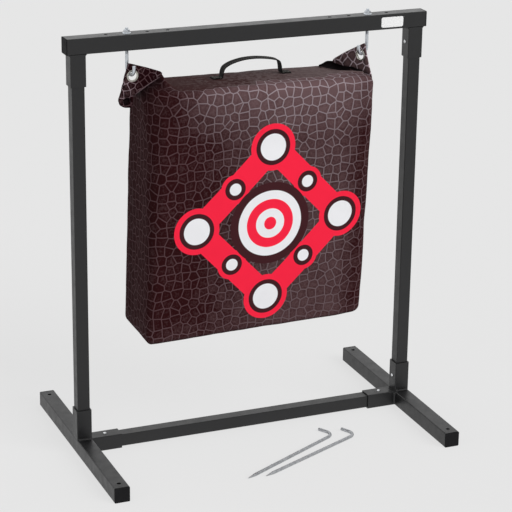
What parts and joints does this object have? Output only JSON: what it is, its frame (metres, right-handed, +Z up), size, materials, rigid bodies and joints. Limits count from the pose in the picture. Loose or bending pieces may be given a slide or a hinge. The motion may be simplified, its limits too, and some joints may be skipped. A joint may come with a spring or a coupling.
{
  "type": "archery target stand",
  "caption": "Free-standing square-tube frame on two feet that holds a stuffed archery target bag from two hooks, with loose ground stakes.",
  "frame": {"origin": "on the floor under the middle of the stand", "axes": "+Z up, +X along the top bar to the viewer's right, -Y the front that is shot at"},
  "size_m": [0.91, 0.6, 1.043],
  "materials": {
    "frame_steel": "black powder coat with a fine even texture",
    "cap_plastic": "moulded black polyethylene",
    "button_steel": "bright nickel plated button",
    "spring_steel": "bare spring steel strip",
    "hook_zinc": "bright zinc plate",
    "bag_fabric": "tight synthetic weave with a printed cell pattern and a printed target",
    "bag_stuffing": "packed textile waste",
    "handle_webbing": "black polypropylene webbing",
    "grommet_nickel": "nickel plated pressed brass",
    "stake_steel": "dull galvanised wire rod"
  },
  "bodies": {
    "root": {"foot_tube_left": "frame_steel", "post_socket_left": "frame_steel", "cross_socket_left": "frame_steel", "post_left": "frame_steel", "bar_socket_left": "frame_steel", "foot_cap_left_front": "cap_plastic", "foot_cap_left_back": "cap_plastic", "bar_cap_left": "cap_plastic", "snap_spring_lower_left": "spring_steel", "snap_spring_upper_left": "spring_steel", "snap_spring_cross_left": "spring_steel", "hook_left": "hook_zinc", "hook_nut_left": "hook_zinc", "foot_tube_right": "frame_steel", "post_socket_right": "frame_steel", "cross_socket_right": "frame_steel", "post_right": "frame_steel", "bar_socket_right": "frame_steel", "foot_cap_right_front": "cap_plastic", "foot_cap_right_back": "cap_plastic", "bar_cap_right": "cap_plastic", "snap_spring_lower_right": "spring_steel", "snap_spring_upper_right": "spring_steel", "snap_spring_cross_right": "spring_steel", "hook_right": "hook_zinc", "hook_nut_right": "hook_zinc", "top_bar": "frame_steel", "cross_tube": "frame_steel"},
    "catch_lower_left": {"snap_button_lower_left": "button_steel"},
    "catch_upper_left": {"snap_button_upper_left": "button_steel"},
    "catch_cross_left": {"snap_button_cross_left": "button_steel"},
    "catch_lower_right": {"snap_button_lower_right": "button_steel"},
    "catch_upper_right": {"snap_button_upper_right": "button_steel"},
    "catch_cross_right": {"snap_button_cross_right": "button_steel"},
    "bag": {"bag_cover": "bag_fabric", "bag_filling": "bag_stuffing", "carry_handle": "handle_webbing", "bag_ear_left": "bag_fabric", "grommet_left": "grommet_nickel", "grommet_washer_left": "grommet_nickel", "bag_ear_right": "bag_fabric", "grommet_right": "grommet_nickel", "grommet_washer_right": "grommet_nickel"},
    "stake_left_loose": {"stake_left": "stake_steel"},
    "stake_right_loose": {"stake_right": "stake_steel"}
  },
  "joints": [
    {"name": "catch_lower_left_press", "type": "slide", "parent": "root", "child": "catch_lower_left", "axis": [-1, 0, 0], "range_m": [0, 0.006], "stiffness_N_per_m": 1500, "springref_m": -0.001, "deforming": ["snap_spring_lower_left"]},
    {"name": "catch_upper_left_press", "type": "slide", "parent": "root", "child": "catch_upper_left", "axis": [-1, 0, 0], "range_m": [0, 0.006], "stiffness_N_per_m": 1500, "springref_m": -0.001, "deforming": ["snap_spring_upper_left"]},
    {"name": "catch_cross_left_press", "type": "slide", "parent": "root", "child": "catch_cross_left", "axis": [0, 0, -1], "range_m": [0, 0.006], "stiffness_N_per_m": 1500, "springref_m": -0.001, "deforming": ["snap_spring_cross_left"]},
    {"name": "catch_lower_right_press", "type": "slide", "parent": "root", "child": "catch_lower_right", "axis": [1, 0, 0], "range_m": [0, 0.006], "stiffness_N_per_m": 1500, "springref_m": -0.001, "deforming": ["snap_spring_lower_right"]},
    {"name": "catch_upper_right_press", "type": "slide", "parent": "root", "child": "catch_upper_right", "axis": [1, 0, 0], "range_m": [0, 0.006], "stiffness_N_per_m": 1500, "springref_m": -0.001, "deforming": ["snap_spring_upper_right"]},
    {"name": "catch_cross_right_press", "type": "slide", "parent": "root", "child": "catch_cross_right", "axis": [0, 0, -1], "range_m": [0, 0.006], "stiffness_N_per_m": 1500, "springref_m": -0.001, "deforming": ["snap_spring_cross_right"]},
    {"name": "bag_swing", "type": "hinge", "parent": "root", "child": "bag", "pos_m": [-0.30167, -0.01565, 0.9355], "axis": [0.9999, 0.0137, 0], "range_deg": [-15, 15]},
    {"name": "stake_left_lift", "type": "slide", "parent": "root", "child": "stake_left_loose", "axis": [0, 0, 1], "range_m": [0, 0.12]},
    {"name": "stake_right_lift", "type": "slide", "parent": "root", "child": "stake_right_loose", "axis": [0, 0, 1], "range_m": [0, 0.12]}
  ]
}
